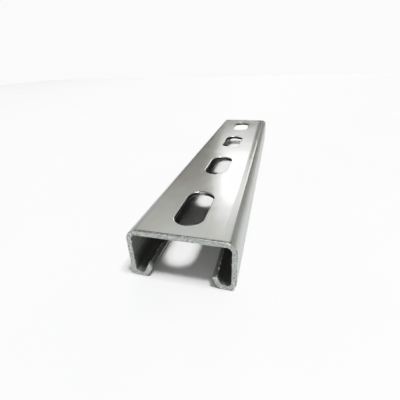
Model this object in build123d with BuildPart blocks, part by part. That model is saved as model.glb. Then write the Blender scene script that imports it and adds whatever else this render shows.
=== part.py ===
"""Slotted strut channel, 41 x 21, a 200 mm length of roll-formed steel.

One piece: a web with a row of slots, two side walls, and a lip hooked back
into the channel under each wall. It rests on its lips with the web on top.
Length runs along Y, width along X, height along +Z. All sizes in mm.
"""
import os
from math import radians, tan

from build123d import *

# ---- driving dimensions ----------------------------------------------------
WIDTH = 41.0            # outside width over the side walls
HEIGHT = 21.0           # outside height, underside of the lips to the web's face
LENGTH = 200.0          # cut length
SHEET = 2.0             # strip thickness
WEB_BEND = 2.0          # inside radius of the two bends beside the web
LIP_BEND = 1.8          # inside radius of the four bends that hook the lips in
LIP_WIDTH = 9.0         # outside width of a hooked lip, wall face to mouth
LIP_RISE = 5.1          # height of the lip's edge over the underside, at the mouth
LIP_TURN = 66.0         # degrees each lip is turned up out of the underside
LIP_EDGE_BREAK = 0.3    # rounding of the slit edge along each lip

SLOT_COUNT = 4
SLOT_PITCH = 50.0       # centre to centre along the length
SLOT_LENGTH = 28.0      # end to end
SLOT_WIDTH = 11.5
FIRST_SLOT = 21.5       # cut end at -Y to the first slot's centre
SLOT_ROLLOVER = 0.5     # edge drawn down by the punch on the web's outer face

# ---- sizes that follow -----------------------------------------------------
half_width = WIDTH / 2
mouth_half = half_width - LIP_WIDTH
lip_foot = mouth_half + LIP_RISE / tan(radians(LIP_TURN))
web_bend_outside = WEB_BEND + SHEET
lip_bend_outside = LIP_BEND + SHEET
slot_row_middle = -LENGTH / 2 + FIRST_SLOT + SLOT_PITCH * (SLOT_COUNT - 1) / 2

# ---- the channel -----------------------------------------------------------
with BuildPart() as strut_channel:
    # Rolled section: the strip's outer face is one line bent round the
    # corners, and the inner face is its offset by one strip thickness, so
    # each bend shares one centre inside and out, as rolled strip does.
    with BuildSketch(Plane.XZ) as section:
        with BuildLine() as strip:
            Polyline(
                (-mouth_half, LIP_RISE),
                (-lip_foot, 0),
                (-half_width, 0),
                (-half_width, HEIGHT),
                (half_width, HEIGHT),
                (half_width, 0),
                (lip_foot, 0),
                (mouth_half, LIP_RISE),
            )
            web_corners = strip.vertices().group_by(Axis.Y)[-1]
            fillet(web_corners, radius=web_bend_outside)
            lip_corners = strip.vertices().group_by(Axis.Y)[0]
            fillet(lip_corners, radius=lip_bend_outside)
            offset(amount=SHEET, side=Side.RIGHT)
        make_face()
        slit_corners = section.vertices().filter_by(
            lambda v: abs(v.X) < mouth_half + SHEET and v.Y > LIP_RISE - 1e-4
        )
        fillet(slit_corners, radius=LIP_EDGE_BREAK)
    extrude(amount=LENGTH / 2, both=True)

    # Slots punched down through the web, one row on the centre line.
    with BuildSketch(Plane.XY.offset(HEIGHT)) as slots:
        with Locations((0, slot_row_middle)):
            with GridLocations(0, SLOT_PITCH, 1, SLOT_COUNT):
                SlotOverall(SLOT_LENGTH, SLOT_WIDTH, rotation=90)
    extrude(amount=-2 * SHEET, mode=Mode.SUBTRACT)

    # The punch draws the web's outer face down round each slot.
    web_face = strut_channel.faces().sort_by(Axis.Z)[-1]
    slot_rims = [edge for loop in web_face.inner_wires() for edge in loop.edges()]
    fillet(slot_rims, radius=SLOT_ROLLOVER)

strut_channel.part.label = "strut_channel"

os.makedirs("parts", exist_ok=True)
export_step(strut_channel.part, "parts/strut_channel.step")
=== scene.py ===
"""One length of slotted strut channel, lying mouth down on a white bench."""
import math

import bpy
from mathutils import Matrix, Vector


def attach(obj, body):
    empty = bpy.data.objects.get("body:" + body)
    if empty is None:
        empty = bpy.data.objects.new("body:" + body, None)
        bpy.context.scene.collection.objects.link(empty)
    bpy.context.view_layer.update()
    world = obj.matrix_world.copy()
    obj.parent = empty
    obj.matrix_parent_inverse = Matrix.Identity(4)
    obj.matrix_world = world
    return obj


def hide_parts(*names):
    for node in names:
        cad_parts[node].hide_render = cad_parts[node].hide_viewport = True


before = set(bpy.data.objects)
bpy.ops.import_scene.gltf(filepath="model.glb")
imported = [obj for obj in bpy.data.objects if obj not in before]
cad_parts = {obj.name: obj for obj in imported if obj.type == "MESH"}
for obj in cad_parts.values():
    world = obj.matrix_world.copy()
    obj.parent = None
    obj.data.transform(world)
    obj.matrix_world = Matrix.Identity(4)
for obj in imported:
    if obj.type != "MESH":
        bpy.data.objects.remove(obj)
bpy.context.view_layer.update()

# ---- Camera --------------------------------------------------------------------
# Hand-held close above the near sawn end and a little to the channel's right,
# tipped down along it, with a short lens, so the section widens towards it.
CAMERA_PLACE = (0.02786, -0.16889, 0.07368)
TURNED_LEFT, TIPPED_DOWN, LEANING = 0.278, 0.484, -0.037
camera_data = bpy.data.cameras.new("camera")
camera_data.sensor_width = 36.0
camera_data.lens = 23.79
camera_data.clip_start = 0.005
camera = bpy.data.objects.new("camera", camera_data)
camera.matrix_world = (
    Matrix.Translation(CAMERA_PLACE)
    @ Matrix.Rotation(TURNED_LEFT, 4, "Z")
    @ Matrix.Rotation(math.pi / 2 - TIPPED_DOWN, 4, "X")
    @ Matrix.Rotation(LEANING, 4, "Z")
)
bpy.context.scene.collection.objects.link(camera)
bpy.context.scene.camera = camera

# ---- Channel -------------------------------------------------------------------
# One strip of mild steel. The strip is roll-formed round six bends to a lipped
# channel, its slots are punched through the web from outside at an even pitch,
# and the length is sawn off, which leaves flat ends with a small burr.
MM = 0.001
WIDTH, HEIGHT, LENGTH, SHEET = 41.0, 21.0, 200.0, 2.0
WEB_BEND, LIP_BEND = 2.0, 1.8
LIP_WIDTH, LIP_RISE, LIP_TURN, LIP_EDGE_BREAK = 9.0, 5.1, math.radians(66), 0.3
SLOT_COUNT, SLOT_PITCH, FIRST_SLOT = 4, 50.0, 21.5
SLOT_LENGTH, SLOT_WIDTH, SLOT_ROLLOVER = 28.0, 11.5, 0.45
ROLLOVER_DEPTH, BURNISH_DEPTH, BREAKOUT = 0.6, 1.3, 0.25
SAWN_EDGE_BREAK = 0.14
BURR, BURR_SPACING = 0.4, 0.5
LIP_BURR_SPACING, LIP_CRUMBS = 0.7, 280

half, mouth = WIDTH / 2, WIDTH / 2 - LIP_WIDTH
foot = mouth + LIP_RISE / math.tan(LIP_TURN)
lip_normal = Vector((math.sin(LIP_TURN), math.cos(LIP_TURN)))
inner_tip = Vector((mouth, LIP_RISE)) + lip_normal * SHEET
inner_foot = foot + math.tan(LIP_TURN / 2) * SHEET
# The right half of the strip's outline from the lip's slit edge round to the
# web: across, up, and the radius that its corner is bent or rubbed to.
outside = [
    (mouth, LIP_RISE, LIP_EDGE_BREAK),
    (foot, 0.0, LIP_BEND + SHEET),
    (half, 0.0, LIP_BEND + SHEET),
    (half, HEIGHT, WEB_BEND + SHEET),
]
inside = [
    (inner_tip.x, inner_tip.y, LIP_EDGE_BREAK),
    (inner_foot, SHEET, LIP_BEND),
    (half - SHEET, SHEET, LIP_BEND),
    (half - SHEET, HEIGHT - SHEET, WEB_BEND),
]
mirrored = [[(-x, z, r) for x, z, r in line] for line in (outside, inside)]
outline = mirrored[0] + outside[::-1] + inside + mirrored[1][::-1]

section = bpy.data.curves.new("section", "CURVE")
section.dimensions = "3D"
spline = section.splines.new("POLY")
spline.points.add(len(outline) - 1)
for point, (x, z, radius) in zip(spline.points, outline):
    point.co = (x * MM, z * MM, 0.0, 1.0)
    point.radius = radius * MM
spline.use_cyclic_u = True
channel_line = bpy.data.objects.new("channel_line", section)
bpy.context.scene.collection.objects.link(channel_line)


def add(tree, kind, wired=None, **settings):
    """Add a node with its settings, and links or values for its inputs."""
    node = tree.nodes.new(kind)
    for name, value in settings.items():
        setattr(node, name, value)
    for name, value in (wired or {}).items():
        if isinstance(value, bpy.types.Node):
            value = value.outputs[0]
        if isinstance(value, bpy.types.NodeSocket):
            tree.links.new(value, node.inputs[name])
        else:
            node.inputs[name].default_value = value
    return node


forming = bpy.data.node_groups.new("roll_form_and_punch", "GeometryNodeTree")
sizes = {
    "Length": LENGTH * MM, "Half Width": half * MM, "Web Top": HEIGHT * MM, "Sheet": SHEET * MM,
    "First Slot": (FIRST_SLOT - LENGTH / 2) * MM, "Slot Pitch": SLOT_PITCH * MM,
    "Slot Length": SLOT_LENGTH * MM, "Slot Width": SLOT_WIDTH * MM,
    "Rollover": SLOT_ROLLOVER * MM, "Rollover Depth": ROLLOVER_DEPTH * MM,
    "Burnish Depth": BURNISH_DEPTH * MM, "Breakout": BREAKOUT * MM,
    "Burr": BURR * MM, "Burr Spacing": BURR_SPACING * MM, "Lip Burr Spacing": LIP_BURR_SPACING * MM,
    "Lip Edge Across": inner_tip.x * MM, "Lip Edge Up": inner_tip.y * MM,
}
counts = {"Slots": SLOT_COUNT, "Lip Crumbs": LIP_CRUMBS}
forming.interface.new_socket("Section", in_out="INPUT", socket_type="NodeSocketGeometry")
for name in sizes:
    forming.interface.new_socket(name, in_out="INPUT", socket_type="NodeSocketFloat")
for name in counts:
    forming.interface.new_socket(name, in_out="INPUT", socket_type="NodeSocketInt")
for name in ("Steel", "Inner Steel", "Sawn Steel", "Punched Steel", "Torn Steel Painted Glint"):
    forming.interface.new_socket(name, in_out="INPUT", socket_type="NodeSocketMaterial")
forming.interface.new_socket("Channel", in_out="OUTPUT", socket_type="NodeSocketGeometry")
given = add(forming, "NodeGroupInput").outputs

# The bent section, run straight from end to end. The section is drawn lying
# down, so whatever is made from it is stood up.
BEND_STEPS = 14
STOOD_UP = (math.pi / 2, 0.0, 0.0)
bent = add(forming, "GeometryNodeFilletCurve", {
    "Curve": given["Section"], "Count": BEND_STEPS, "Radius": add(forming, "GeometryNodeInputRadius"),
    "Limit Radius": True}, mode="POLY")
bent = add(forming, "GeometryNodeSetCurveRadius", {"Curve": bent, "Radius": 1.0})
far_end = add(forming, "ShaderNodeMath", {0: given["Length"], 1: 0.5}, operation="MULTIPLY")
near_end = add(forming, "ShaderNodeMath", {0: far_end, 1: -1.0}, operation="MULTIPLY")
run = add(forming, "GeometryNodeCurvePrimitiveLine", {
    "Start": add(forming, "ShaderNodeCombineXYZ", {"Z": near_end}),
    "End": add(forming, "ShaderNodeCombineXYZ", {"Z": far_end})})
strip = add(forming, "GeometryNodeCurveToMesh", {
    "Curve": run, "Profile Curve": bent, "Fill Caps": True})
strip = add(forming, "GeometryNodeTransform", {"Geometry": strip, "Rotation": STOOD_UP})

# The punch: a bar that stands a little proud of the web above and below. Its
# corners are rounded to a hair under half its width, so no two of them meet.
SLOT_END_STEPS, STROKE_STEPS = 20, 49
UNDER_HALF, STANDS_PROUD = 0.4999, 0.1
round_end = add(forming, "ShaderNodeMath", {0: given["Slot Width"], 1: UNDER_HALF}, operation="MULTIPLY")
punch_line = add(forming, "GeometryNodeCurvePrimitiveQuadrilateral", {
    "Width": given["Slot Width"], "Height": given["Slot Length"]}, mode="RECTANGLE")
punch_line = add(forming, "GeometryNodeFilletCurve", {
    "Curve": punch_line, "Count": SLOT_END_STEPS, "Radius": round_end, "Limit Radius": True}, mode="POLY")
proud = add(forming, "ShaderNodeMath", {0: given["Sheet"], 1: STANDS_PROUD}, operation="MULTIPLY")
web_foot = add(forming, "ShaderNodeMath", {0: given["Web Top"], 1: given["Sheet"]}, operation="SUBTRACT")
punch_foot = add(forming, "ShaderNodeMath", {0: web_foot, 1: proud}, operation="SUBTRACT")
punch_head = add(forming, "ShaderNodeMath", {0: given["Web Top"], 1: proud}, operation="ADD")
stroke = add(forming, "GeometryNodeCurvePrimitiveLine", {
    "Start": add(forming, "ShaderNodeCombineXYZ", {"Z": punch_foot}),
    "End": add(forming, "ShaderNodeCombineXYZ", {"Z": punch_head})})
stroke = add(forming, "GeometryNodeResampleCurve", {"Curve": stroke, "Count": STROKE_STEPS})
punch = add(forming, "GeometryNodeCurveToMesh", {
    "Curve": stroke, "Profile Curve": punch_line, "Fill Caps": True})

# Each point of the punch goes straight out from its middle line, which is a
# short line along the slot.
place = add(forming, "ShaderNodeSeparateXYZ", {"Vector": add(forming, "GeometryNodeInputPosition")})
straight = add(forming, "ShaderNodeMath", {0: given["Slot Length"], 1: given["Slot Width"]},
               operation="SUBTRACT")
line_end = add(forming, "ShaderNodeMath", {0: straight, 1: 0.5}, operation="MULTIPLY")
line_start = add(forming, "ShaderNodeMath", {0: line_end, 1: -1.0}, operation="MULTIPLY")
on_line = add(forming, "ShaderNodeClamp", {
    "Value": place.outputs["Y"], "Min": line_start, "Max": line_end})
past_line = add(forming, "ShaderNodeMath", {0: place.outputs["Y"], 1: on_line}, operation="SUBTRACT")
outward = add(forming, "ShaderNodeVectorMath", {
    0: add(forming, "ShaderNodeCombineXYZ", {"X": place.outputs["X"], "Y": past_line})},
    operation="NORMALIZE")

# It is wider over the web's face, where it draws the steel's edge down in a
# quarter round, and wider again at the underside, where the slug breaks out.
depth = add(forming, "ShaderNodeMath", {0: given["Web Top"], 1: place.outputs["Z"]}, operation="SUBTRACT")
drawn_down = add(forming, "ShaderNodeMath", {0: depth, 1: given["Rollover Depth"]},
                 operation="DIVIDE", use_clamp=True)
still_up = add(forming, "ShaderNodeMath", {0: 1.0, 1: drawn_down}, operation="SUBTRACT")
squared = add(forming, "ShaderNodeMath", {0: still_up, 1: still_up}, operation="MULTIPLY")
left_over = add(forming, "ShaderNodeMath", {0: 1.0, 1: squared}, operation="SUBTRACT")
quarter_round = add(forming, "ShaderNodeMath", {0: left_over}, operation="SQRT")
rollover = add(forming, "ShaderNodeMath", {0: 1.0, 1: quarter_round}, operation="SUBTRACT")
rollover = add(forming, "ShaderNodeMath", {0: rollover, 1: given["Rollover"]}, operation="MULTIPLY")
past_burnish = add(forming, "ShaderNodeMath", {0: depth, 1: given["Burnish Depth"]}, operation="SUBTRACT")
break_depth = add(forming, "ShaderNodeMath", {0: given["Sheet"], 1: given["Burnish Depth"]},
                  operation="SUBTRACT")
broken = add(forming, "ShaderNodeMath", {0: past_burnish, 1: break_depth}, operation="DIVIDE")
broken = add(forming, "ShaderNodeMath", {0: 0.0, 1: broken}, operation="MAXIMUM")
breakout = add(forming, "ShaderNodeMath", {0: broken, 1: given["Breakout"]}, operation="MULTIPLY")
widening = add(forming, "ShaderNodeMath", {0: rollover, 1: breakout}, operation="ADD")
punch = add(forming, "GeometryNodeSetPosition", {
    "Geometry": punch,
    "Offset": add(forming, "ShaderNodeVectorMath", {0: outward, "Scale": widening}, operation="SCALE")})

# One punch at each pitch along the web, and the strip less all of them.
row = add(forming, "GeometryNodeMeshLine", {
    "Count": given["Slots"],
    "Start Location": add(forming, "ShaderNodeCombineXYZ", {"Y": given["First Slot"]}),
    "Offset": add(forming, "ShaderNodeCombineXYZ", {"Y": given["Slot Pitch"]})})
punches = add(forming, "GeometryNodeRealizeInstances", {
    "Geometry": add(forming, "GeometryNodeInstanceOnPoints", {"Points": row, "Instance": punch})})
punched = add(forming, "GeometryNodeMeshBoolean", {"Mesh 1": strip, "Mesh 2": punches},
              operation="DIFFERENCE", solver="EXACT")

# Which edges are rubbed round: the sharp ones of the two sawn ends.
SHARP, A_HAIR = math.radians(50), 0.01 * MM
place = add(forming, "ShaderNodeSeparateXYZ", {"Vector": add(forming, "GeometryNodeInputPosition")})
across, along, up = place.outputs
off_centre = add(forming, "ShaderNodeMath", {0: across}, operation="ABSOLUTE")
off_middle = add(forming, "ShaderNodeMath", {0: along}, operation="ABSOLUTE")
by_end = add(forming, "ShaderNodeMath", {0: far_end, 1: A_HAIR}, operation="SUBTRACT")
at_end = add(forming, "ShaderNodeMath", {0: off_middle, 1: by_end}, operation="GREATER_THAN")
edge_turn = add(forming, "GeometryNodeInputMeshEdgeAngle")
sharp = add(forming, "ShaderNodeMath", {0: edge_turn, 1: SHARP}, operation="GREATER_THAN")
rubbed = add(forming, "ShaderNodeMath", {0: sharp, 1: at_end}, operation="MULTIPLY")
rounded = add(forming, "GeometryNodeStoreNamedAttribute", {
    "Geometry": punched, "Name": "bevel_weight_edge", "Value": rubbed}, data_type="FLOAT", domain="EDGE")
whole = add(forming, "GeometryNodeRealizeInstances", {"Geometry": rounded})
whole = add(forming, "GeometryNodeSetMaterial", {"Geometry": whole, "Material": given["Steel"]})

# The inner face is what lies most of a sheet's thickness in from the walls and
# the web, and clear of the bench.
MOST_OF_SHEET, CLEAR_OF_BENCH = 0.9, 0.4
most = add(forming, "ShaderNodeMath", {0: given["Sheet"], 1: MOST_OF_SHEET}, operation="MULTIPLY")
wall_back = add(forming, "ShaderNodeMath", {0: given["Half Width"], 1: most}, operation="SUBTRACT")
web_back = add(forming, "ShaderNodeMath", {0: given["Web Top"], 1: most}, operation="SUBTRACT")
clear = add(forming, "ShaderNodeMath", {0: given["Sheet"], 1: CLEAR_OF_BENCH}, operation="MULTIPLY")
within_walls = add(forming, "ShaderNodeMath", {0: off_centre, 1: wall_back}, operation="LESS_THAN")
under_web = add(forming, "ShaderNodeMath", {0: up, 1: web_back}, operation="LESS_THAN")
off_bench = add(forming, "ShaderNodeMath", {0: up, 1: clear}, operation="GREATER_THAN")
inner = add(forming, "ShaderNodeMath", {0: under_web, 1: off_bench}, operation="MULTIPLY")
inner = add(forming, "ShaderNodeMath", {0: within_walls, 1: inner}, operation="MULTIPLY")
whole = add(forming, "GeometryNodeSetMaterial", {
    "Geometry": whole, "Selection": inner, "Material": given["Inner Steel"]})
whole = add(forming, "GeometryNodeSetMaterial", {
    "Geometry": whole, "Selection": at_end, "Material": given["Sawn Steel"]})

# A slot's wall is what stands upright near the centre line, in the web and
# under the drawn-down rim, and isn't the sawn end.
NEARLY_HALF, STEEP = 0.55, 0.5
slot_reach = add(forming, "ShaderNodeMath", {0: given["Slot Width"], 1: NEARLY_HALF}, operation="MULTIPLY")
near_centre = add(forming, "ShaderNodeMath", {0: off_centre, 1: slot_reach}, operation="LESS_THAN")
rim_foot = add(forming, "ShaderNodeMath", {0: given["Web Top"], 1: given["Rollover Depth"]},
               operation="SUBTRACT")
below_rim = add(forming, "ShaderNodeMath", {0: up, 1: rim_foot}, operation="LESS_THAN")
half_way_up = add(forming, "ShaderNodeMath", {0: given["Web Top"], 1: 0.5}, operation="MULTIPLY")
in_web = add(forming, "ShaderNodeMath", {0: up, 1: half_way_up}, operation="GREATER_THAN")
facing = add(forming, "ShaderNodeSeparateXYZ", {"Vector": add(forming, "GeometryNodeInputNormal")})
facing_up = add(forming, "ShaderNodeMath", {0: facing.outputs["Z"]}, operation="ABSOLUTE")
upright = add(forming, "ShaderNodeMath", {0: facing_up, 1: STEEP}, operation="LESS_THAN")
slot_wall = add(forming, "ShaderNodeMath", {0: 1.0, 1: at_end}, operation="SUBTRACT")
for test in (upright, in_web, below_rim, near_centre):
    slot_wall = add(forming, "ShaderNodeMath", {0: test, 1: slot_wall}, operation="MULTIPLY")
whole = add(forming, "GeometryNodeSetMaterial", {
    "Geometry": whole, "Selection": slot_wall, "Material": given["Punched Steel"]})

# Burr: crumbs of torn steel that the saw left along the inner edge of each end,
# and that the slitter left along the edge of each lip. They are drawn coarser
# than the real ones, and lie a crumb's radius inside the cut.
inset = add(forming, "ShaderNodeMath", {0: far_end, 1: given["Burr"]}, operation="SUBTRACT")
near_inset = add(forming, "ShaderNodeMath", {0: inset, 1: -1.0}, operation="MULTIPLY")
end_edge = add(forming, "GeometryNodeCurveToPoints", {
    "Curve": bent, "Length": given["Burr Spacing"]}, mode="LENGTH")
edges = add(forming, "GeometryNodeJoinGeometry")
for cut in (near_inset, inset):
    end_crumbs = add(forming, "GeometryNodeTransform", {
        "Geometry": end_edge, "Rotation": STOOD_UP,
        "Translation": add(forming, "ShaderNodeCombineXYZ", {"Y": cut})})
    forming.links.new(end_crumbs.outputs[0], edges.inputs[0])
for side in (-1.0, 1.0):
    lip_edge = add(forming, "ShaderNodeMath", {0: given["Lip Edge Across"], 1: side}, operation="MULTIPLY")
    lip_line = add(forming, "GeometryNodeMeshLine", {
        "Count": given["Lip Crumbs"],
        "Start Location": add(forming, "ShaderNodeCombineXYZ", {
            "X": lip_edge, "Y": near_inset, "Z": given["Lip Edge Up"]}),
        "Offset": add(forming, "ShaderNodeCombineXYZ", {"Y": given["Lip Burr Spacing"]})})
    lip_crumbs = add(forming, "GeometryNodeMeshToPoints", {"Mesh": lip_line})
    forming.links.new(lip_crumbs.outputs[0], edges.inputs[0])

# Most crumbs have come away, more of them by the saw, and all of them where the
# edge lies on the channel's outside.
GONE_FROM_LIPS, MORE_BY_SAW = 0.6, 0.28
CRUMB_REACH = 1.5
cut_line = add(forming, "ShaderNodeMath", {0: inset, 1: A_HAIR}, operation="SUBTRACT")
by_saw = add(forming, "ShaderNodeMath", {0: off_middle, 1: cut_line}, operation="GREATER_THAN")
more_gone = add(forming, "ShaderNodeMath", {0: by_saw, 1: MORE_BY_SAW}, operation="MULTIPLY")
chance_gone = add(forming, "ShaderNodeMath", {0: more_gone, 1: GONE_FROM_LIPS}, operation="ADD")
come_away = add(forming, "FunctionNodeRandomValue", {"Probability": chance_gone, "Seed": 3},
                data_type="BOOLEAN").outputs[3]
reach = add(forming, "ShaderNodeMath", {0: given["Burr"], 1: CRUMB_REACH}, operation="MULTIPLY")
wall_skin = add(forming, "ShaderNodeMath", {0: given["Half Width"], 1: reach}, operation="SUBTRACT")
web_skin = add(forming, "ShaderNodeMath", {0: given["Web Top"], 1: reach}, operation="SUBTRACT")
on_wall = add(forming, "ShaderNodeMath", {0: off_centre, 1: wall_skin}, operation="GREATER_THAN")
on_web = add(forming, "ShaderNodeMath", {0: up, 1: web_skin}, operation="GREATER_THAN")
on_underside = add(forming, "ShaderNodeMath", {0: up, 1: reach}, operation="LESS_THAN")
for test in (on_wall, on_web, on_underside):
    come_away = add(forming, "ShaderNodeMath", {0: come_away, 1: test}, operation="MAXIMUM")
torn = add(forming, "GeometryNodeDeleteGeometry", {"Geometry": edges, "Selection": come_away},
           domain="POINT")

# No two crumbs are turned the same way or drawn to the same size.
FULL_TURN = 6.28
SMALLEST, LARGEST = (0.2, 0.2, 0.2), (1.0, 0.9, 0.9)
crumb = add(forming, "GeometryNodeMeshIcoSphere", {"Radius": given["Burr"], "Subdivisions": 1})
turned = add(forming, "FunctionNodeRandomValue", {
    0: (0, 0, 0), 1: (FULL_TURN, FULL_TURN, FULL_TURN), "Seed": 5}, data_type="FLOAT_VECTOR")
shrunk = add(forming, "FunctionNodeRandomValue", {
    0: SMALLEST, 1: LARGEST, "Seed": 7}, data_type="FLOAT_VECTOR")
burr = add(forming, "GeometryNodeInstanceOnPoints", {
    "Points": torn, "Instance": crumb, "Rotation": turned, "Scale": shrunk})
burr = add(forming, "GeometryNodeRealizeInstances", {"Geometry": burr})
burr = add(forming, "GeometryNodeSetMaterial", {"Geometry": burr, "Material": given["Torn Steel Painted Glint"]})
whole_with_burr = add(forming, "GeometryNodeJoinGeometry")
for steelwork in (whole, burr):
    forming.links.new(steelwork.outputs[0], whole_with_burr.inputs[0])
add(forming, "NodeGroupOutput", {"Channel": whole_with_burr})


def linear(hex_colour):
    """An sRGB hex colour as the linear values that a shader works in."""
    values = [int(hex_colour[i:i + 2], 16) / 255 for i in (1, 3, 5)]
    return [v / 12.92 if v <= 0.04045 else ((v + 0.055) / 1.055) ** 2.4 for v in values] + [1.0]


# Mill-finish steel, cold rolled then roll-formed and only wiped clean: a dull
# grey metal with a soft sheen, drawn out across the fine lines along its length.
steel = bpy.data.materials.new("mill_finish_steel")
steel.use_nodes = True
tree = steel.node_tree
shader = tree.nodes["Principled BSDF"]
shader.inputs["Metallic"].default_value = 1.0
# The film of oil left on it takes some of the shine from glancing light.
shader.inputs["Specular Tint"].default_value = linear("#D2D2D2")
place = add(tree, "ShaderNodeTexCoord").outputs["Object"]
# Lines left by the rolls, drawn 0.6 mm apart where the real ones are finer.
stretched = add(tree, "ShaderNodeVectorMath", {0: place, 1: (1.0, 0.012, 1.0)}, operation="MULTIPLY")
roll_lines = add(tree, "ShaderNodeTexNoise", {"Vector": stretched, "Scale": 1 / (0.6 * MM), "Detail": 3.0})
# Oil and handling leave soft patches some 15 mm across, warmer or cooler.
patches = add(tree, "ShaderNodeTexNoise", {
    "Vector": place, "Scale": 1 / (15 * MM), "Detail": 2.0, "Roughness": 0.6})
patch_tint = add(tree, "ShaderNodeValToRGB", {"Fac": patches})
for element, (spot, tint) in zip(patch_tint.color_ramp.elements, ((0.35, "#B5B6B2"), (0.65, "#B7BAB8"))):
    element.position = spot
    element.color = linear(tint)
line_tint = add(tree, "ShaderNodeMapRange", {
    "Value": roll_lines, "From Min": 0.3, "From Max": 0.7, "To Min": 0.98, "To Max": 1.02})
tint = add(tree, "ShaderNodeVectorMath", {0: patch_tint, "Scale": line_tint}, operation="SCALE")
tree.links.new(tint.outputs[0], shader.inputs["Base Color"])
line_sheen = add(tree, "ShaderNodeMapRange", {
    "Value": roll_lines, "From Min": 0.3, "From Max": 0.7, "To Min": 0.185, "To Max": 0.215})
patch_sheen = add(tree, "ShaderNodeMapRange", {
    "Value": patches, "From Min": 0.35, "From Max": 0.65, "To Min": -0.01, "To Max": 0.015})
sheen = add(tree, "ShaderNodeMath", {0: line_sheen, 1: patch_sheen}, operation="ADD")
# The side walls drag on the rolls, which leaves them duller than the web.
across = add(tree, "ShaderNodeSeparateXYZ", {0: place})
off_centre = add(tree, "ShaderNodeMath", {0: across}, operation="ABSOLUTE")
dragged = add(tree, "ShaderNodeMapRange", {
    "Value": off_centre, "From Min": (half - 3.0) * MM, "From Max": (half - 0.5) * MM, "To Max": 0.25})
sheen = add(tree, "ShaderNodeMath", {0: sheen, 1: dragged}, operation="ADD")
tree.links.new(sheen.outputs[0], shader.inputs["Roughness"])
# The strip is never quite flat: shallow waves some 14 mm long run through it.
waves = add(tree, "ShaderNodeTexNoise", {"Vector": place, "Scale": 1 / (14 * MM), "Detail": 2.0})
rolled = add(tree, "ShaderNodeBump", {"Height": waves, "Distance": 0.045 * MM, "Strength": 1.0})
# One roll has pressed the web down a little beside its right bend.
falling = add(tree, "ShaderNodeMapRange", {
    "Value": across, "From Min": (half - 6.5) * MM, "From Max": (half - 3.1) * MM,
    "To Min": 1.0, "To Max": 0.0}, interpolation_type="SMOOTHSTEP")
rolled = add(tree, "ShaderNodeBump", {"Height": falling, "Distance": 0.25 * MM, "Normal": rolled})
# The saw has turned up a ragged burr within a millimetre of each end.
off_middle = add(tree, "ShaderNodeMath", {0: across.outputs["Y"]}, operation="ABSOLUTE")
by_end = add(tree, "ShaderNodeMapRange", {
    "Value": off_middle, "From Min": (LENGTH / 2 - 1.1) * MM, "From Max": (LENGTH / 2 - 0.5) * MM})
jagged = add(tree, "ShaderNodeTexNoise", {"Vector": place, "Scale": 1 / (0.9 * MM), "Detail": 2.0})
turned_up = add(tree, "ShaderNodeMath", {0: jagged, 1: by_end}, operation="MULTIPLY")
rolled = add(tree, "ShaderNodeBump", {"Height": turned_up, "Distance": 0.5 * MM, "Normal": rolled})
lined = add(tree, "ShaderNodeBump", {"Height": roll_lines, "Distance": 0.0015 * MM, "Normal": rolled})
tree.links.new(lined.outputs[0], shader.inputs["Normal"])

# The strip's inner face, shut in by the rolls: the same steel, still dull with
# rolling oil and scale, so it mirrors little of the bench beside it. Its grey is
# painted darker than the outside's, as painted shade inside the channel.
inner_steel = bpy.data.materials.new("oiled_inner_steel_with_painted_shade")
inner_steel.use_nodes = True
tree = inner_steel.node_tree
shader = tree.nodes["Principled BSDF"]
shader.inputs["Metallic"].default_value = 1.0
place = add(tree, "ShaderNodeTexCoord").outputs["Object"]
# Streaks along the strip, drawn 0.8 mm apart where the real ones are finer.
stretched = add(tree, "ShaderNodeVectorMath", {0: place, 1: (1.0, 0.03, 1.0)}, operation="MULTIPLY")
streaks = add(tree, "ShaderNodeTexNoise", {"Vector": stretched, "Scale": 1 / (0.8 * MM), "Detail": 3.0})
# Both greys lie below the outer steel's: painted shade, streaked along the strip.
streak_and_shade_tint = add(tree, "ShaderNodeValToRGB", {"Fac": streaks})
for element, (spot, tint) in zip(streak_and_shade_tint.color_ramp.elements, ((0.35, "#9A9B97"), (0.65, "#B1B2AF"))):
    element.position = spot
    element.color = linear(tint)
tree.links.new(streak_and_shade_tint.outputs[0], shader.inputs["Base Color"])
dull = add(tree, "ShaderNodeMapRange", {
    "Value": streaks, "From Min": 0.3, "From Max": 0.7, "To Min": 0.58, "To Max": 0.7})
tree.links.new(dull.outputs[0], shader.inputs["Roughness"])

# Sawn steel: grey and rough, torn by the blade's teeth and mottled where burr
# and swarf were smeared back over the cut, in spots drawn 0.9 mm across.
sawn = bpy.data.materials.new("sawn_steel")
sawn.use_nodes = True
tree = sawn.node_tree
shader = tree.nodes["Principled BSDF"]
shader.inputs["Metallic"].default_value = 1.0
place = add(tree, "ShaderNodeTexCoord").outputs["Object"]
mottle = add(tree, "ShaderNodeTexNoise", {
    "Vector": place, "Scale": 1 / (0.9 * MM), "Detail": 3.0, "Roughness": 0.65})
mottle_tint = add(tree, "ShaderNodeValToRGB", {"Fac": mottle})
for element, (spot, tint) in zip(mottle_tint.color_ramp.elements, ((0.36, "#8D8F8D"), (0.62, "#AAACAA"))):
    element.position = spot
    element.color = linear(tint)
tree.links.new(mottle_tint.outputs[0], shader.inputs["Base Color"])
smeared = add(tree, "ShaderNodeMapRange", {
    "Value": mottle, "From Min": 0.35, "From Max": 0.65, "To Min": 0.62, "To Max": 0.42})
tree.links.new(smeared.outputs[0], shader.inputs["Roughness"])
tooth_marks = add(tree, "ShaderNodeBump", {"Height": mottle, "Distance": 0.05 * MM, "Strength": 0.7})
tree.links.new(tooth_marks.outputs[0], shader.inputs["Normal"])

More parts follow.
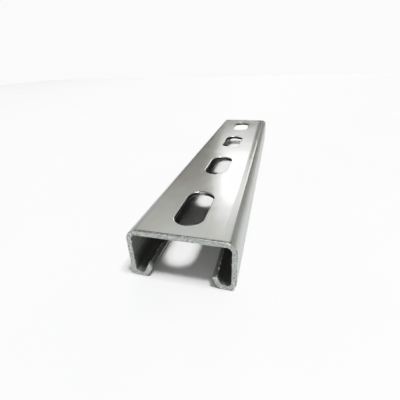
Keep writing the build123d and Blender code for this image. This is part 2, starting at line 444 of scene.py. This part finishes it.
# Punched steel: a burnished band, scored down the punch's stroke, then a rough
# and paler band where the slug broke out. The two meet in a ragged line.
punched_steel = bpy.data.materials.new("punched_steel")
punched_steel.use_nodes = True
tree = punched_steel.node_tree
shader = tree.nodes["Principled BSDF"]
shader.inputs["Metallic"].default_value = 1.0
place = add(tree, "ShaderNodeTexCoord").outputs["Object"]
stretched = add(tree, "ShaderNodeVectorMath", {0: place, 1: (1.0, 1.0, 0.1)}, operation="MULTIPLY")
scores = add(tree, "ShaderNodeTexNoise", {"Vector": stretched, "Scale": 1 / (0.5 * MM), "Detail": 2.0})
level = add(tree, "ShaderNodeSeparateXYZ", {0: place}).outputs["Z"]
ragged = add(tree, "ShaderNodeMath", {0: scores, 1: 0.5 * MM, 2: level}, operation="MULTIPLY_ADD")
break_level = (HEIGHT - BURNISH_DEPTH + 0.25) * MM
broken = add(tree, "ShaderNodeMapRange", {
    "Value": ragged, "From Min": break_level + 0.1 * MM, "From Max": break_level - 0.1 * MM})
wall_tint = add(tree, "ShaderNodeMix", {
    "Factor": broken, 6: linear("#8F8F8C"), 7: linear("#BDBDB8")}, data_type="RGBA")
tree.links.new(wall_tint.outputs[2], shader.inputs["Base Color"])
wall_sheen = add(tree, "ShaderNodeMapRange", {"Value": broken, "To Min": 0.28, "To Max": 0.65})
tree.links.new(wall_sheen.outputs[0], shader.inputs["Roughness"])
scored = add(tree, "ShaderNodeBump", {"Height": scores, "Distance": 0.03 * MM, "Strength": 0.6})
tree.links.new(scored.outputs[0], shader.inputs["Normal"])

# Torn steel: the burr's fresh metal, smoother where the tear has left glints. Its
# colour is painted near white, paler than any face around it: partly fresh metal,
# partly a painted highlight so the crumbs read bright in the channel's shade.
torn_steel_painted_glint = bpy.data.materials.new("torn_steel_painted_glint")
torn_steel_painted_glint.use_nodes = True
tree = torn_steel_painted_glint.node_tree
shader = tree.nodes["Principled BSDF"]
shader.inputs["Metallic"].default_value = 1.0
place = add(tree, "ShaderNodeTexCoord").outputs["Object"]
tears = add(tree, "ShaderNodeTexNoise", {"Vector": place, "Scale": 1 / (0.4 * MM), "Detail": 2.0})
# The paler end of this ramp is painted highlight on the crumbs.
tear_and_glint_tint = add(tree, "ShaderNodeValToRGB", {"Fac": tears})
for element, (spot, tint) in zip(tear_and_glint_tint.color_ramp.elements, ((0.35, "#B4B6B4"), (0.6, "#F0F1F0"))):
    element.position = spot
    element.color = linear(tint)
tree.links.new(tear_and_glint_tint.outputs[0], shader.inputs["Base Color"])
tear_sheen = add(tree, "ShaderNodeMapRange", {"Value": tears, "To Min": 0.5, "To Max": 0.3})
tree.links.new(tear_sheen.outputs[0], shader.inputs["Roughness"])

# The tree's sizes are set, and what it forms becomes a plain mesh.
press = channel_line.modifiers.new("roll_form_and_punch", "NODES")
press.node_group = forming
steels = {"Steel": steel, "Inner Steel": inner_steel, "Sawn Steel": sawn,
          "Punched Steel": punched_steel, "Torn Steel Painted Glint": torn_steel_painted_glint}
values = {**sizes, **counts, **steels}
for item in forming.interface.items_tree:
    if item.item_type == "SOCKET" and item.in_out == "INPUT" and item.name in values:
        press[item.identifier] = values[item.name]
evaluated = channel_line.evaluated_get(bpy.context.evaluated_depsgraph_get())
formed = bpy.data.meshes.new_from_object(evaluated)
bpy.data.objects.remove(channel_line)
channel = bpy.data.objects.new("channel", formed)
bpy.context.scene.collection.objects.link(channel)
edge_break = channel.modifiers.new("edge_break", "BEVEL")
edge_break.limit_method = "WEIGHT"
edge_break.offset_type = "OFFSET"
edge_break.width = SAWN_EDGE_BREAK * MM
edge_break.segments = 3
evaluated = channel.evaluated_get(bpy.context.evaluated_depsgraph_get())
finished = bpy.data.meshes.new_from_object(evaluated)
channel.modifiers.clear()
channel.data = finished
# The section's line brings an empty material slot of its own, which goes.
finished.materials.pop(index=0)
for face in finished.polygons:
    face.use_smooth = True
finished.set_sharp_from_angle(angle=math.radians(35))
flat_faces = channel.modifiers.new("flat_faces", "WEIGHTED_NORMAL")
flat_faces.keep_sharp = True
flat_faces.weight = 100
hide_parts("strut_channel")
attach(channel, "root")

# ---- Bench ---------------------------------------------------------------------
# A plain top of white laminate pressed on board, wide enough to fill every view.
# The channel lies loose on it.
REACH = 1.3
bench_mesh = bpy.data.meshes.new("bench")
bench_mesh.from_pydata(
    [(-REACH, -REACH, 0), (REACH, -REACH, 0), (REACH, REACH, 0), (-REACH, REACH, 0)], [], [(0, 1, 2, 3)])
bench = bpy.data.objects.new("bench", bench_mesh)
bpy.context.scene.collection.objects.link(bench)
laminate = bpy.data.materials.new("white_laminate")
laminate.use_nodes = True
tree = laminate.node_tree
shader = tree.nodes["Principled BSDF"]
place = add(tree, "ShaderNodeTexCoord").outputs["Object"]
# Pressed melamine: white and matt, with pebbling drawn 1.2 mm across where the
# real one is finer, and faint clouds some 60 mm across where it has been wiped.
pebbles = add(tree, "ShaderNodeTexNoise", {"Vector": place, "Scale": 1 / (1.2 * MM), "Detail": 1.0})
wiped = add(tree, "ShaderNodeTexNoise", {"Vector": place, "Scale": 1 / (60 * MM), "Detail": 2.0})
wiped_tint = add(tree, "ShaderNodeValToRGB", {"Fac": wiped})
for element, (spot, tint) in zip(wiped_tint.color_ramp.elements, ((0.35, "#F7F8F8"), (0.65, "#FAFAFA"))):
    element.position = spot
    element.color = linear(tint)
tree.links.new(wiped_tint.outputs[0], shader.inputs["Base Color"])
wiped_sheen = add(tree, "ShaderNodeMapRange", {
    "Value": wiped, "From Min": 0.35, "From Max": 0.65, "To Min": 0.56, "To Max": 0.64})
tree.links.new(wiped_sheen.outputs[0], shader.inputs["Roughness"])
pebbled = add(tree, "ShaderNodeBump", {"Height": pebbles, "Distance": 0.01 * MM, "Strength": 1.0})
tree.links.new(pebbled.outputs[0], shader.inputs["Normal"])
bench_mesh.materials.append(laminate)

# ---- Light ---------------------------------------------------------------------
# A pale room that the steel mirrors, one soft lamp high over the right side that
# lays patches through the slots, and two windows low beyond the far end, whose
# glare lies along the web. Seen straight on, the room is plain white.
room = bpy.data.worlds.new("pale_room")
room.use_nodes = True
tree = room.node_tree
facing = add(tree, "ShaderNodeSeparateXYZ", {0: add(tree, "ShaderNodeTexCoord").outputs["Generated"]})
# Each wall from the floor (0) to straight overhead (1): height, brightness, and
# how warm it is.
room_walls = {
    "near": [(0.0, 0.85, 0.0), (0.08, 0.85, 0.0), (0.20, 0.65, 0.03), (0.40, 0.55, 0.03),
             (0.55, 0.30, 0.0), (1.0, 0.10, 0.0)],
    "far": [(0.0, 0.60, 0.0), (0.07, 0.50, 0.0), (0.13, 0.36, 0.0), (0.21, 0.36, 0.03),
            (0.30, 0.46, 0.07), (0.37, 0.50, 0.10), (0.46, 0.65, 0.05), (0.56, 0.82, 0.02),
            (0.70, 0.86, 0.0), (0.80, 0.16, 0.0)],
    "left": [(0.0, 0.8, 0.0), (0.30, 0.8, 0.0), (0.42, 0.5, 0.0), (0.80, 0.16, 0.0)],
    "right": [(0.0, 0.55, 0.0), (0.30, 0.52, 0.0), (0.42, 0.48, 0.0), (0.80, 0.16, 0.0)],
}
painted = {}
for side, bands in room_walls.items():
    ramp = add(tree, "ShaderNodeValToRGB", {"Fac": facing.outputs["Z"]})
    while len(ramp.color_ramp.elements) < len(bands):
        ramp.color_ramp.elements.new(1.0)
    for element, (height, level, warmth) in zip(ramp.color_ramp.elements, bands):
        element.position = height
        element.color = (level, level * (1 - 0.5 * warmth), level * (1 - warmth), 1.0)
    painted[side] = ramp.outputs[0]
# The near wall fills the room, and each other one takes over as the steel's
# mirrored view turns its way.
around = painted["near"]
for side, axis, begins, filled in (("far", "Y", -0.2, 0.5), ("left", "X", -0.42, -0.56),
                                   ("right", "X", 0.16, 0.30)):
    turned = add(tree, "ShaderNodeMapRange", {
        "Value": facing.outputs[axis], "From Min": begins, "From Max": filled})
    around = add(tree, "ShaderNodeMix", {"Factor": turned, 6: around, 7: painted[side]},
                 data_type="RGBA").outputs[2]
PLAIN_WHITE = (1.05, 1.05, 1.05, 1.0)
seen = add(tree, "ShaderNodeLightPath").outputs["Is Camera Ray"]
below = add(tree, "ShaderNodeMath", {0: facing.outputs["Z"], 1: 0.0}, operation="LESS_THAN")
plain = add(tree, "ShaderNodeMath", {0: seen, 1: below}, operation="MAXIMUM")
shown = add(tree, "ShaderNodeMix", {"Factor": plain, 6: around, 7: PLAIN_WHITE}, data_type="RGBA")
background = tree.nodes["Background"]
tree.links.new(shown.outputs[2], background.inputs["Color"])
background.inputs["Strength"].default_value = 1.6
bpy.context.scene.world = room


def lamp(name, place, aim, size, power):
    """A rectangular soft light at one place, turned to another."""
    data = bpy.data.lights.new(name, "AREA")
    data.shape = "RECTANGLE"
    data.size, data.size_y = size
    data.energy = power
    light = bpy.data.objects.new(name, data)
    turn = (Vector(aim) - Vector(place)).to_track_quat("-Z", "Y")
    light.matrix_world = Matrix.Translation(place) @ turn.to_matrix().to_4x4()
    bpy.context.scene.collection.objects.link(light)


lamp("overhead_lamp", (3.0, -0.91, 10.5), (0, -0.1, 0), (2.85, 2.55), 1710.0)
lamp("window", (-0.195, 1.84, 0.83), (0, 0, 0), (0.32, 0.40), 3.0)
lamp("narrow_window", (0.21, 1.84, 0.775), (0, 0, 0), (0.07, 0.5), 0.9)

# The exposure is generous: whites roll off gently and the deep shade stays deep.
WHITE = 2.4
view = bpy.context.scene.view_settings
view.view_transform = "Standard"
view.use_curve_mapping = True
view.curve_mapping.white_level = (WHITE, WHITE, WHITE)
tone = view.curve_mapping.curves[3]
tone.points[0].location = (0.0, 0.006)
tone.points[1].location = (1.0, 1.0)
for light, shown_as in ((0.045, 0.015), (0.11, 0.05), (0.235, 0.135), (0.45, 0.34), (0.82, 0.67),
                        (1.48, 0.875), (1.71, 0.965)):
    tone.points.new(light / WHITE, shown_as)
view.curve_mapping.update()
